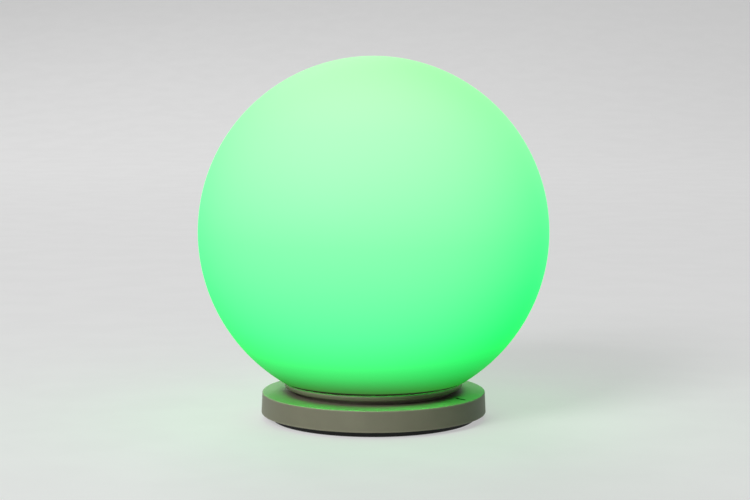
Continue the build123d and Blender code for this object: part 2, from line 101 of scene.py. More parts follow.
CROSS_WIDTH = 0.6 * MM
CROSS_DEPTH = 0.7 * MM
PAD_RADIUS = 3.2 * MM
PAD_RING = 0.9 * MM  # width of the flat ring round a pad's dished face
PAD_DISH = 0.12 * MM
POCKET_RADIUS = 3.3 * MM
POCKET_DEPTH = 0.5 * MM
BUTTON_HOLE_RADIUS = 5.0 * MM
BUTTON_RADIUS = 4.8 * MM
BUTTON_FLANGE = 0.6 * MM
BUTTON_STEM_RADIUS = 1.8 * MM
DISH_RADIUS = 2.6 * MM
DISH_DEPTH = 0.22 * MM  # in the middle of the button
DISH_EDGE = 0.12 * MM
RAISED_RING_RADIUS = 2.9 * MM
CUT = 1.0 * MM  # a cutting tool runs this far past the face that it opens
OVERLAP = CUT / 2  # an added piece starts this far inside the piece that takes it
DIAGONALS = [radians(45 + 90 * turn) for turn in range(4)]
QUARTERS = [radians(90 * turn) for turn in range(4)]
INDEX_TURN = radians(-30)  # direction of the index mark
KEY_TURN = radians(150)  # direction of the key and its notch

ball_radius = reach("globe")
ball_middle = highest("globe") - ball_radius
neck_bottom = lowest("globe")
shoulder_height = highest("globe_seal")
groove_floor = lowest("globe_seal")
lip_radius = reach("globe_seal")
rim_radius = reach("collar")
rim_top = shoulder_height - SEAL_LIP
rim_bottom = rim_top - RIM_HEIGHT
lamp_bottom = lowest("collar")
spigot_top = highest("collar")
spigot_bore = reach("inner_housing") + HOUSING_FIT
spigot_radius = spigot_bore + COLLAR_WALL
neck_bore = spigot_radius + CEMENT_GAP
neck_radius = neck_bore + GLASS_WALL
seal_bore = neck_radius + SEAL_FIT
seal_radius = seal_bore + SEAL_WALL
groove_radius = seal_radius + SEAL_FIT
barrel_radius = groove_radius + COLLAR_WALL
shoulder_radius = rim_radius + SHOULDER_OVERHANG

cover_top = highest("bottom_cover")
flange_top = lowest("inner_housing")
board_bottom = lowest("control_board")
lamp_screw_circle = (reach("cover_screws") - HEAD_RADIUS) / cos(DIAGONALS[0])
pad_circle = reach("lamp_pads") - PAD_RADIUS

DOCK_DRAFT = 0.4 * MM
DOCK_WALL = 2.0 * MM
DOCK_BEVEL = 0.4 * MM
RECESS_FIT = 0.4 * MM
BOSS_RADIUS = 3.2 * MM
COIL_RIM_WALL = 1.0 * MM
COIL_RIM_FIT = 0.2 * MM
RIB_THICKNESS = 1.0 * MM
RIB_DEPTH = 2.8 * MM
PILOT_FIT = 0.05 * MM
PILOT_SPARE = 0.6 * MM  # a pilot hole runs this far past the screw's tip
BASE_THICKNESS = 2.0 * MM
POST_RADIUS = 1.6 * MM
PIN_RADIUS = 0.9 * MM
POST_INSET = 7.7 * MM
POST_TURN = radians(30)
FOOT_WIDTH = 5.0 * MM
FOOT_FIT = 0.1 * MM
GRIP_WIDTH = 0.5 * MM
GRIP_DEPTH = 0.3 * MM
GRIP_SHARES = (0.36, 0.64)  # places of the grip grooves across the foot
MARK_LENGTH = 5.4 * MM
MARK_WIDTH = 1.3 * MM
MARK_DEPTH = 0.4 * MM
MARK_GAP = 3.4 * MM
MARK_SLANT = radians(-20)
SOCKET_FIT = 0.2 * MM
SOCKET_SKIN = 0.35 * MM
SOCKET_BACK = 1.0 * MM
SOCKET_ROUND = 0.9 * MM
SLOT_ROUND = 1.0 * MM
SLOT_REACH = 8 * MM  # length of the tool that opens the dock's side at the socket
TONGUE_WIDTH = 5.5 * MM
TONGUE_HALF = 0.3 * MM

dock_bottom = lowest("dock_top")
dock_plane = highest("dock_top")
dock_low_radius = reach("dock_top")
dock_radius = dock_low_radius - DOCK_DRAFT
mark_floor = dock_plane - MARK_DEPTH
mark_radius = rim_radius + MARK_GAP
dock_bore = dock_radius - DOCK_WALL
recess_radius = barrel_radius + RECESS_FIT
recess_floor = lowest("lamp_pads")
roof_underside = highest("transmit_coil")
coil_rim_bore = reach("transmit_coil") + COIL_RIM_FIT
coil_rim_bottom = lowest("transmit_shield")
base_top = dock_bottom + BASE_THICKNESS
foot_bore = reach("foot_ring") - FOOT_WIDTH
foot_groove_top = highest("foot_ring")
dock_screw_circle = (reach("dock_screws") - HEAD_RADIUS) / cos(DIAGONALS[0])


# ---- Modelling helpers -------------------------------------------------------------------------
def clear_choice():
    """Deselects every object."""
    bpy.ops.object.select_all(action="DESELECT")


def choose(piece):
    """Makes a piece the only chosen object."""
    clear_choice()
    piece.select_set(True)
    bpy.context.view_layer.objects.active = piece


def named(name):
    """Names the new object and moves its place into its mesh."""
    piece = bpy.context.object
    piece.name = piece.data.name = name
    bpy.ops.object.transform_apply(location=True, rotation=True, scale=True)
    return piece


def disc(name, radius, bottom, top, place=(0, 0), steps=SMALL_STEPS):
    """Upright round bar between two heights."""
    clear_choice()
    bpy.ops.mesh.primitive_cylinder_add(
        vertices=steps, radius=radius, depth=top - bottom, location=(*place, (bottom + top) / 2)
    )
    return named(name)


def bar(name, x_size, y_size, bottom, top, place=(0, 0)):
    """Upright box between two heights."""
    clear_choice()
    bpy.ops.mesh.primitive_cube_add(size=1, location=(*place, (bottom + top) / 2))
    bpy.context.object.scale = (x_size, y_size, top - bottom)
    return named(name)


def open_mesh(piece, kind="EDGE"):
    """Goes into edit mode on a piece, with nothing selected."""
    choose(piece)
    bpy.ops.object.mode_set(mode="EDIT")
    bpy.ops.mesh.select_mode(type=kind)
    bpy.ops.mesh.select_all(action="DESELECT")


def close_mesh():
    """Goes back to object mode."""
    bpy.ops.object.mode_set(mode="OBJECT")


def pick(piece, wanted, kind="EDGE"):
    """Selects in edit mode the corners, edges or faces that pass a test on their corner points."""
    bpy.ops.mesh.select_mode(type=kind)
    bpy.ops.mesh.select_all(action="DESELECT")
    shape = bmesh.from_edit_mesh(piece.data)
    if kind == "VERT":
        for corner in shape.verts:
            corner.select_set(wanted([corner.co]))
    else:
        for part in shape.edges if kind == "EDGE" else shape.faces:
            part.select_set(wanted([corner.co for corner in part.verts]))
    bmesh.update_edit_mesh(piece.data)


def tidy_faces():
    """Closes seams and poles and points the faces outwards, in edit mode."""
    bpy.ops.mesh.select_all(action="SELECT")
    bpy.ops.mesh.remove_doubles(threshold=TINY)
    bpy.ops.mesh.normals_make_consistent(inside=False)


def lathe(name, outline, rounds=(), steps=ROUND_STEPS, segments=4):
    """Turns an outline of (radius, height) corners about Z. rounds: (corner number, edge round)."""
    clear_choice()
    first = outline[0]
    bpy.ops.mesh.primitive_plane_add(size=MM, location=(first[0], 0, first[1]))
    piece = named(name)
    open_mesh(piece, "VERT")
    bpy.ops.mesh.select_all(action="SELECT")
    bpy.ops.mesh.merge(type="CENTER")
    for start, end in zip(outline, outline[1:]):
        step = (end[0] - start[0], 0, end[1] - start[1])
        bpy.ops.mesh.extrude_vertices_move(TRANSFORM_OT_translate={"value": step})
    ends = [Vector((first[0], 0, first[1])), Vector((outline[-1][0], 0, outline[-1][1]))]
    if max(ends[0].x, ends[1].x) > TINY:
        pick(piece, lambda points: min((points[0] - end).length for end in ends) < TINY, "VERT")
        bpy.ops.mesh.edge_face_add()
    for corner, size in rounds:
        place = Vector((outline[corner][0], 0, outline[corner][1]))
        pick(piece, lambda points: (points[0] - place).length < TINY, "VERT")
        bpy.ops.mesh.bevel(affect="VERTICES", offset=size, segments=segments)
    bpy.ops.mesh.select_all(action="SELECT")
    bpy.ops.mesh.spin(steps=steps, angle=2 * pi, center=(0, 0, 0), axis=(0, 0, 1))
    tidy_faces()
    close_mesh()
    return piece


def turn(piece, angle):
    """Turns a piece about Z, in its mesh."""
    piece.data.transform(Matrix.Rotation(angle, 4, "Z"))
    return piece


def copies(piece, angles):
    """Copies of a piece turned about Z, each with its own mesh, which take its place."""
    made = []
    for number, angle in enumerate(angles, 1):
        copy = piece.copy()
        copy.data = piece.data.copy()
        bpy.context.collection.objects.link(copy)
        copy.name = copy.data.name = f"{piece.name}_{number}"
        made.append(turn(copy, angle))
    bpy.data.objects.remove(piece)
    return made


def carve(piece, tools, operation="DIFFERENCE"):
    """Cuts tools out of a piece, or adds them to it, and deletes them."""
    for tool in tools:
        choose(piece)
        bpy.ops.object.modifier_add(type="BOOLEAN")
        modifier = piece.modifiers[-1]
        modifier.operation = operation
        modifier.object = tool
        bpy.ops.object.modifier_apply(modifier=modifier.name)
        bpy.data.objects.remove(tool)
    return piece


def soften(piece, width, segments=3, turn_from=SHARP_TURN):
    """Rounds a piece's crisp edges."""
    choose(piece)
    bpy.ops.object.modifier_add(type="BEVEL")
    modifier = piece.modifiers[-1]
    modifier.width = width
    modifier.segments = segments
    modifier.limit_method = "ANGLE"
    modifier.angle_limit = turn_from
    bpy.ops.object.modifier_apply(modifier=modifier.name)
    return piece


def dress(piece, body, slot, node, turn_from=SHARP_TURN):
    """Shades a finished piece, gives it its finish, sets it on the body it rides on and hides the node it
    stands for.
    """
    choose(piece)
    bpy.ops.object.shade_smooth_by_angle(angle=turn_from)
    bpy.ops.object.modifier_add(type="WEIGHTED_NORMAL")
    piece.modifiers[-1].keep_sharp = True
    bpy.ops.object.modifier_apply(modifier=piece.modifiers[-1].name)
    piece.data.materials.clear()
    piece.data.materials.append(FINISHES[slot])
    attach(piece, body)
    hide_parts(node)
    return piece


# ---- Shared surface effects --------------------------------------------------------------------
def add_node(tree, kind, inputs=None, **settings):
    """Adds a node. inputs: socket name or number, to a value or to the socket that feeds it."""
    made = tree.nodes.new(kind)
    for name, value in settings.items():
        setattr(made, name, value)
    for name, value in (inputs or {}).items():
        if isinstance(value, bpy.types.NodeSocket):
            tree.links.new(value, made.inputs[name])
        else:
            made.inputs[name].default_value = value
    return made


def sums(tree, operation, *values):
    """Output of a Math node."""
    return add_node(tree, "ShaderNodeMath", dict(enumerate(values)), operation=operation).outputs[0]


def blend(tree, factor, first, second, blend_type="MIX"):
    """Output of a colour Mix node."""
    made = add_node(tree, "ShaderNodeMix", data_type="RGBA", blend_type=blend_type)
    for socket, value in zip((made.inputs[0], made.inputs[6], made.inputs[7]), (factor, first, second)):
        if isinstance(value, bpy.types.NodeSocket):
            tree.links.new(value, socket)
        else:
            socket.default_value = value
    return made.outputs[2]


def step_mask(tree, value, low, high):
    """Smooth mask that is 0 up to low and 1 from high."""
    sockets = {"Value": value, "From Min": low, "From Max": high}
    return add_node(tree, "ShaderNodeMapRange", sockets, interpolation_type="SMOOTHSTEP").outputs[0]


def new_group(name, inputs, outputs):
    """An empty shader group with named sockets: (name, kind)."""
    group = bpy.data.node_groups.new(name, "ShaderNodeTree")
    for in_out, sockets in (("INPUT", inputs), ("OUTPUT", outputs)):
        for socket, kind in sockets:
            group.interface.new_socket(socket, in_out=in_out, socket_type=f"NodeSocket{kind}")
    return group, group.nodes.new("NodeGroupInput"), group.nodes.new("NodeGroupOutput")


MOTTLE_RATE = 0.03  # patches of the slow mottle for each grain
GLOSS_SWING = 0.05  # how far the mottle shifts a finish's roughness, up and down
WEAR_HIGHLIGHT_FADE = (0.5, 1.4)  # distances from the edge between which the wear and painted highlight fade, in widths of the band
WEAR_HIGHLIGHT_LIFT = 1.35  # how much paler the plastic is along the edges: wear and painted highlight
WEAR_HIGHLIGHT_PATCHES = 260.0  # patches in the wear and painted highlight, in one metre
WEAR_HIGHLIGHT_RAGGED = 0.6  # how far a patch shifts the border of the wear and painted highlight, in widths of the band


def moulded_grain():
    """Fine spark-eroded grain, with a slow mottle under it."""
    group, given, out = new_group(
        "moulded_grain",
        [("Position", "Vector"), ("Grains per metre", "Float")],
        [("Grain", "Float"), ("Mottle", "Float")],
    )
    position = given.outputs["Position"]
    rate = given.outputs["Grains per metre"]
    fine = add_node(group, "ShaderNodeTexNoise", {"Vector": position, "Scale": rate, "Detail": 3.0})
    slow_rate = sums(group, "MULTIPLY", rate, MOTTLE_RATE)
    slow = add_node(group, "ShaderNodeTexNoise", {"Vector": position, "Scale": slow_rate, "Detail": 4.0})
    group.links.new(fine.outputs[0], out.inputs["Grain"])
    group.links.new(slow.outputs[0], out.inputs["Mottle"])
    return group


def rim_wear():
    """Mask of a ragged band along a round edge at a radius and height: wear, and a painted highlight where
    the edge catches the light.
    """
    group, given, out = new_group(
        "rim_wear",
        [("Position", "Vector"), ("Radius", "Float"), ("Height", "Float"), ("Width", "Float")],
        [("Wear", "Float")],
    )
    parts = add_node(group, "ShaderNodeSeparateXYZ", {0: given.outputs["Position"]}).outputs
    out_squared = sums(group, "ADD", sums(group, "MULTIPLY", parts[0], parts[0]),
                       sums(group, "MULTIPLY", parts[1], parts[1]))
    aside = sums(group, "SUBTRACT", sums(group, "SQRT", out_squared), given.outputs["Radius"])
    above = sums(group, "SUBTRACT", parts[2], given.outputs["Height"])
    away = sums(group, "SQRT", sums(group, "ADD", sums(group, "MULTIPLY", aside, aside),
                                    sums(group, "MULTIPLY", above, above)))
    share = sums(group, "DIVIDE", away, given.outputs["Width"])
    spots = {"Vector": given.outputs["Position"], "Scale": WEAR_HIGHLIGHT_PATCHES}
    patches = add_node(group, "ShaderNodeTexNoise", spots)
    ragged = sums(group, "ADD", share, sums(group, "MULTIPLY", patches.outputs[0], WEAR_HIGHLIGHT_RAGGED))
    wear_highlight_mask = sums(group, "SUBTRACT", 1.0, step_mask(group, ragged, *WEAR_HIGHLIGHT_FADE))
    group.links.new(wear_highlight_mask, out.inputs["Wear"])
    return group


GRAIN = moulded_grain()
RIM_WEAR_HIGHLIGHT = rim_wear()


# ---- Materials -----------------------------------------------------------------------------------
def new_material(name, **sockets):
    """A Principled material. sockets: values of its own sockets, by their names with _ for a space."""
    material = bpy.data.materials.new(name)
    material.use_nodes = True
    tree = material.node_tree
    shader = tree.nodes["Principled BSDF"]
    for socket, value in sockets.items():
        shader.inputs[socket.replace("_", " ")].default_value = value
    place = add_node(tree, "ShaderNodeTexCoord").outputs["Object"]
    return material, tree, shader, place


def grain_of(tree, place, rate):
    """Outputs of the shared grain group."""
    made = add_node(tree, "ShaderNodeGroup", node_tree=GRAIN)
    tree.links.new(place, made.inputs["Position"])
    made.inputs["Grains per metre"].default_value = rate
    return made.outputs


def worn_lit_rim(tree, place, radius, height, width):
    """Output of the shared group for wear and painted highlight along a rim."""
    made = add_node(tree, "ShaderNodeGroup", node_tree=RIM_WEAR_HIGHLIGHT)
    tree.links.new(place, made.inputs["Position"])
    for socket, value in (("Radius", radius), ("Height", height), ("Width", width)):
        made.inputs[socket].default_value = value
    return made.outputs[0]


def feed(tree, shader, **sources):
    """Joins outputs to the shader's own sockets."""
    for socket, source in sources.items():
        tree.links.new(source, shader.inputs[socket.replace("_", " ")])


def bumped(tree, height, depth, strength=1.0):
    """Normal output of a Bump node over a height."""
    sockets = {"Height": height, "Distance": depth, "Strength": strength}
    return add_node(tree, "ShaderNodeBump", sockets).outputs[0]


def colour_ramp(tree, factor, stops, smooth="EASE"):
    """Output of a ramp over (position, linear colour) stops."""
    ramp = add_node(tree, "ShaderNodeValToRGB", {0: factor})
    ramp.color_ramp.interpolation = smooth
    elements = ramp.color_ramp.elements
    while len(elements) < len(stops):
        elements.new(1.0)
    for element, (position, colour) in zip(elements, stops):
        element.position = position
        element.color = (*colour, 1.0)
    return ramp.outputs[0]


def plain_finish(name, colour, roughness, rate, depth, mottle=0.06, **sockets):
    """Finish with a grain in its relief, and a mottle in its colour and its gloss."""
    material, tree, shader, place = new_material(name, Roughness=roughness, **sockets)
    grain = grain_of(tree, place, rate)
    dark = tuple(channel * (1 - mottle) for channel in colour)
    light = tuple(channel * (1 + mottle) for channel in colour)
    shade = colour_ramp(tree, grain["Mottle"], [(0.3, dark), (0.7, light)])
    gloss = add_node(tree, "ShaderNodeMapRange", {"Value": grain["Mottle"]}).outputs[0]
    gloss.node.inputs["To Min"].default_value = roughness - GLOSS_SWING
    gloss.node.inputs["To Max"].default_value = roughness + GLOSS_SWING
    feed(tree, shader, Base_Color=shade, Roughness=gloss, Normal=bumped(tree, grain["Grain"], depth))
    return material, tree, shader, place, shade


GLOW = 2.0
PAINTED_LIGHT_FRONT = 0.95  # painted light: how much paler the glow grows towards the front, where the key lamp falls
PAINTED_LIGHT_LEFT = 0.2  # and towards the left, also painted light
BACK_LEVEL = -0.11  # painted light half-way to the back: below 0, the glow stays deep
GLOW_WITH_PAINTED_LIGHT = [  # share of the ball's height, colour of the lamp's light through the glass with painted studio light on it, whiter towards the top
    (0.08, (0.045, 0.04, 0.025)),
    (0.13, (0.045, 0.40, 0.09)),
    (0.18, (0.045, 0.60, 0.14)),
    (0.25, (0.06, 0.57, 0.18)),
    (0.5, (0.12, 0.54, 0.20)),
    (0.8, (0.24, 0.50, 0.27)),
    (1.0, (0.38, 0.46, 0.35)),
]
# the glow away from the front: paler at the top as painted light, falling at the foot and neck partly as
# painted shade
DEEP_GLOW_WITH_PAINTED_SHADE = [
    (0.08, (0.01, 0.13, 0.01)),
    (0.14, (0.0, 0.30, 0.03)),
    (0.24, (0.0, 0.58, 0.07)),
    (0.36, (0.012, 0.58, 0.105)),
    (0.48, (0.035, 0.58, 0.135)),
    (0.62, (0.075, 0.57, 0.165)),
    (0.8, (0.14, 0.56, 0.195)),
    (1.0, (0.19, 0.47, 0.195)),
]
# body colour under the glow, darker towards the foot as painted shade
GLASS_BODY_PAINTED_SHADE = [
    (0.08, (0.03, 0.10, 0.04)),
    (0.3, (0.03, 0.20, 0.06)),
    (0.6, (0.05, 0.24, 0.10)),
    (1.0, (0.07, 0.26, 0.10)),
]


BARE_RING = 1.2 * MM  # bare metal past the cell's sleeve
SHADE_EDGE = 1.03  # the painted shade in the mark's groove ends just past the groove's walls, at this share of its size


def opal_glass():
    """Green-lit opal glass: painted studio light pales the glow towards the top, front and left; painted
    shade, with the lamp's own fall of light, deepens it at the foot and darkens the neck.
    """
    material, tree, shader, place = new_material(
        "opal_glass", Roughness=0.55, Specular_IOR_Level=0.06, Emission_Strength=GLOW
    )
    material.cycles.emission_sampling = "NONE"
    centred = add_node(tree, "ShaderNodeMapping", {0: place})
    centred.inputs["Location"].default_value = (0, 0, -ball_middle / ball_radius)
    centred.inputs["Scale"].default_value = (1 / ball_radius,) * 3
    parts = add_node(tree, "ShaderNodeSeparateXYZ", {0: centred.outputs[0]}).outputs
    height = sums(tree, "MULTIPLY_ADD", parts[2], 0.5, 0.5)
    # painted light from the front and left lamps: a mask that pales the glow
    towards_front = sums(tree, "MULTIPLY_ADD", parts[1], -PAINTED_LIGHT_FRONT, BACK_LEVEL)
    lean = sums(tree, "MULTIPLY_ADD", parts[0], -PAINTED_LIGHT_LEFT, towards_front)
    pale = step_mask(tree, lean, 0.0, 1.0)
    # the lamp's green glow with the painted light and painted shade mixed in
    glow = blend(tree, pale, colour_ramp(tree, height, DEEP_GLOW_WITH_PAINTED_SHADE, "LINEAR"),
                 colour_ramp(tree, height, GLOW_WITH_PAINTED_LIGHT, "LINEAR"))
    # painted shade: the body colour darker towards the foot
    body = colour_ramp(tree, height, GLASS_BODY_PAINTED_SHADE, "LINEAR")
    waves = add_node(tree, "ShaderNodeTexNoise", {"Vector": place, "Scale": 45.0, "Detail": 1.0})
    feed(tree, shader, Base_Color=body, Emission_Color=glow,
         Normal=bumped(tree, waves.outputs[0], 0.02 * MM, 0.5))
    return material


def shell_plastic():
    """Warm grey moulded plastic, paler along its round edges as wear and painted highlight, with painted
    shade in the index mark's groove.
    """
    colour = (0.235, 0.210, 0.158)
    material, tree, shader, place, shade = plain_finish(
        "shell_plastic", colour, 0.46, 3200.0, 0.012 * MM, 0.04, Specular_IOR_Level=0.4
    )
    # round edges that get the wear and painted highlight
    rims = [
        (dock_radius, dock_plane, 0.7 * MM),
        (dock_low_radius, dock_bottom, 0.8 * MM),
        (rim_radius, rim_top, 1.2 * MM),
    ]
    edge_wear_highlight = None
    for radius, height, width in rims:
        band = worn_lit_rim(tree, place, radius, height, width)
        edge_wear_highlight = band if edge_wear_highlight is None else sums(tree, "MAXIMUM", edge_wear_highlight, band)
    # paler edges: wear with a painted highlight where the round edges catch the light
    pale = tuple(min(1.0, WEAR_HIGHLIGHT_LIFT * channel) for channel in colour)
    bare = blend(tree, edge_wear_highlight, shade, (*pale, 1.0))
    # near-black painted shade in the index mark's groove
    groove_shade_colour = (0.01, 0.01, 0.01, 1.0)
    feed(tree, shader, Base_Color=blend(tree, mark_painted_shade(tree, place), bare, groove_shade_colour))
    return material


def mark_painted_shade(tree, place):
    """Mask of the painted shade in the index mark's groove, near black over its floor and walls."""
    near = add_node(tree, "ShaderNodeMapping", {0: place}, vector_type="TEXTURE")
    middle = Matrix.Rotation(INDEX_TURN, 3, "Z") @ Vector((mark_radius, 0, mark_floor))
    near.inputs["Location"].default_value = middle
    near.inputs["Rotation"].default_value = (0, 0, INDEX_TURN + MARK_SLANT)
    near.inputs["Scale"].default_value = (MARK_LENGTH / 2, MARK_WIDTH / 2, MARK_DEPTH)
    share = add_node(tree, "ShaderNodeVectorMath", {0: near.outputs[0]}, operation="ABSOLUTE")
    sides = add_node(tree, "ShaderNodeSeparateXYZ", {0: share.outputs[0]}).outputs
    widest = sums(tree, "MAXIMUM", sums(tree, "MAXIMUM", sides[0], sides[1]), sides[2])
    return sums(tree, "LESS_THAN", widest, SHADE_EDGE)


def cell_sleeve():
    """Blue shrink sleeve with a bare ring at the plus end."""
    material, tree, shader, place, shade = plain_finish(
        "cell_sleeve", (0.03, 0.10, 0.34), 0.35, 900.0, 0.01 * MM, Coat_Weight=0.3
    )
    along = add_node(tree, "ShaderNodeSeparateXYZ", {0: place}).outputs[0]
    sleeve_end = reach("battery") - BARE_RING
    bare = step_mask(tree, along, sleeve_end, sleeve_end + 0.05 * MM)
    feed(tree, shader, Base_Color=blend(tree, bare, shade, (0.6, 0.6, 0.62, 1.0)), Metallic=bare)
    return material


def lead_sheath():
    """One red lead and one black."""
    material, tree, shader, place, shade = plain_finish(
        "lead_sheath", (0.5, 0.03, 0.025), 0.5, 2500.0, 0.01 * MM
    )
    across = add_node(tree, "ShaderNodeSeparateXYZ", {0: place}).outputs[1]
    black = step_mask(tree, across, -0.1 * MM, 0.1 * MM)
    feed(tree, shader, Base_Color=blend(tree, black, shade, (0.02, 0.02, 0.02, 1.0)))
    return material


def green_board():
    """Green solder resist, paler over a brickwork of copper traces."""
    material, tree, shader, place, shade = plain_finish(
        "green_board", (0.012, 0.10, 0.035), 0.3, 4000.0, 0.006 * MM, Coat_Weight=0.4
    )
    scaled = add_node(tree, "ShaderNodeMapping", {0: place})
    scaled.inputs["Scale"].default_value = (1, 1, 0)
    lanes = add_node(
        tree, "ShaderNodeTexBrick", {"Vector": scaled.outputs[0], "Scale": 130.0, "Mortar Size": 0.045}
    )
    trace = (0.03, 0.22, 0.07, 1.0)
    feed(
        tree,
        shader,
        Base_Color=blend(tree, lanes.outputs["Fac"], shade, trace),
        Normal=bumped(tree, lanes.outputs["Fac"], 0.03 * MM),
    )
    return material


def coil_wire():
    """Enamelled copper, wound in rings."""
    material, tree, shader, place, shade = plain_finish(
        "coil_wire", (0.72, 0.28, 0.11), 0.3, 3000.0, 0.004 * MM, Metallic=1.0
    )
    flat = add_node(tree, "ShaderNodeMapping", {0: place})
    flat.inputs["Scale"].default_value = (1, 1, 0)
    turns = add_node(
        tree,
        "ShaderNodeTexWave",
        {"Vector": flat.outputs[0], "Scale": 420.0, "Detail": 0.0},
        wave_type="RINGS",
        rings_direction="SPHERICAL",
    )
    dark = (0.25, 0.07, 0.02, 1.0)
    feed(
        tree,
        shader,
        Base_Color=blend(tree, turns.outputs[1], dark, shade),
        Normal=bumped(tree, turns.outputs[1], 0.2 * MM),
    )
    return material


def led_body():
    """Yellow phosphor window in a white case."""
    material, tree, shader, place, shade = plain_finish(
        "led_body", (0.75, 0.74, 0.70), 0.4, 2500.0, 0.005 * MM
    )
    up = add_node(tree, "ShaderNodeSeparateXYZ", {0: place}).outputs[2]
    window = step_mask(tree, up, highest("leds") - 0.05 * MM, highest("leds"))
    cells = add_node(tree, "ShaderNodeTexVoronoi", {"Vector": place, "Scale": 900.0})
    shades = [(0.0, (0.85, 0.62, 0.12)), (0.6, (0.95, 0.80, 0.30))]
    phosphor = colour_ramp(tree, cells.outputs[0], shades)
    feed(tree, shader, Base_Color=blend(tree, window, shade, phosphor))
    return material


def simple(name, colour, roughness, rate, depth, mottle=0.06, **sockets):
    """A plain finish as it is, with its grain's depth in millimetres."""
    return plain_finish(name, colour, roughness, rate, depth * MM, mottle, **sockets)[0]


FINISHES = {
    "opal_glass": opal_glass(),
    "seal_rubber": simple("seal_rubber", (0.045, 0.012, 0.008), 0.55, 2600.0, 0.01, 0.15),
    "shell_plastic": shell_plastic(),
    "housing_plastic": simple("housing_plastic", (0.72, 0.72, 0.70), 0.5, 2800.0, 0.01),
    "frosted_plastic": simple(
        "frosted_plastic", (0.82, 0.84, 0.84), 0.6, 2400.0, 0.012, Transmission_Weight=0.5
    ),
    "spreader_metal": simple("spreader_metal", (0.80, 0.81, 0.82), 0.35, 1800.0, 0.006, Metallic=1.0),
    "white_board": simple("white_board", (0.80, 0.80, 0.78), 0.35, 3600.0, 0.005, Coat_Weight=0.3),
    "led_body": led_body(),
    "ribbon_film": simple("ribbon_film", (0.42, 0.20, 0.05), 0.35, 1500.0, 0.005, Coat_Weight=0.3),
    "cell_sleeve": cell_sleeve(),
    "lead_sheath": lead_sheath(),
    "green_board": green_board(),
    "chip_plastic": simple("chip_plastic", (0.022, 0.022, 0.024), 0.45, 3800.0, 0.01, 0.2),
    "coil_wire": coil_wire(),
    "ferrite": simple("ferrite", (0.055, 0.052, 0.050), 0.6, 2200.0, 0.015, 0.25),
    "foot_rubber": simple("foot_rubber", (0.016, 0.016, 0.016), 0.7, 2400.0, 0.02, 0.2),
    "button_rubber": simple("button_rubber", (0.05, 0.05, 0.052), 0.6, 2600.0, 0.012, 0.15),
    "screw_steel": simple("screw_steel", (0.58, 0.58, 0.60), 0.32, 5200.0, 0.004, 0.1, Metallic=1.0),
    "socket_metal": simple("socket_metal", (0.62, 0.62, 0.63), 0.28, 3000.0, 0.004, Metallic=1.0),
}


# ---- The ball and its seat -------------------------------------------------------------------------
def make_ball():
    """Blown glass: a sphere opened below, turned in to a flat shoulder and drawn down to a neck."""
    clear_choice()
    bpy.ops.mesh.primitive_uv_sphere_add(
        segments=ROUND_STEPS,
        ring_count=ROUND_STEPS // 2,
        radius=ball_radius,
        location=(0, 0, ball_middle),
    )
    ball = named("opal_ball")
    open_mesh(ball)
    bpy.ops.mesh.select_all(action="SELECT")
    bpy.ops.mesh.bisect(plane_co=(0, 0, shoulder_height), plane_no=(0, 0, 1), clear_inner=True)
    pick(ball, lambda points: max(abs(point.z - shoulder_height) for point in points) < TINY)
    turned_in = neck_radius / shoulder_radius
    bpy.ops.mesh.extrude_edges_move()
    bpy.ops.transform.resize(value=(turned_in, turned_in, 1), center_override=(0, 0, shoulder_height))
    bpy.ops.mesh.extrude_edges_move(
        TRANSFORM_OT_translate={"value": (0, 0, neck_bottom - shoulder_height)}
    )
    tidy_faces()
    pick(
        ball,
        lambda points: all(
            abs(point.z - shoulder_height) < TINY and abs(hypot(*point.xy) - shoulder_radius) < 0.1 * MM
            for point in points
        ),
    )
    bpy.ops.mesh.bevel(offset=SHOULDER_BEVEL, segments=4)
    close_mesh()
    bpy.ops.object.modifier_add(type="SOLIDIFY")
    wall = ball.modifiers[-1]
    wall.thickness = GLASS_WALL
    wall.offset = -1
    wall.use_even_offset = True
    bpy.ops.object.modifier_apply(modifier=wall.name)
    open_mesh(ball)
    pick(
        ball,
        lambda points: max(abs(point.z - neck_bottom) for point in points) < TINY
        and abs(hypot(*points[0].xy) - hypot(*points[1].xy)) < TINY,
    )
    bpy.ops.mesh.bevel(offset=NECK_BEVEL, segments=4)
    close_mesh()
    return dress(ball, "lamp", "opal_glass", "globe")


def make_seal():
    """Channel ring with a rounded lip that shows as the dark line under the ball."""
    seal = lathe(
        "seal_ring",
        [
            (neck_bore, groove_floor),
            (seal_radius, groove_floor),
            (seal_radius, rim_top),
            (lip_radius, rim_top),
            (lip_radius, shoulder_height),
            (seal_bore, shoulder_height),
            (seal_bore, neck_bottom),
            (neck_bore, neck_bottom),
        ],
        rounds=[(3, 0.15 * MM), (4, 0.2 * MM)],
    )
    return dress(seal, "lamp", "seal_rubber", "globe_seal")


def key_bar(name, reach_to, width, bottom, top):
    """Bar from inside the collar's barrel out to a radius, in the key's direction."""
    start = barrel_radius - COLLAR_WALL / 2
    piece = bar(name, reach_to - start, width, bottom, top, ((start + reach_to) / 2, 0))
    return turn(piece, KEY_TURN)


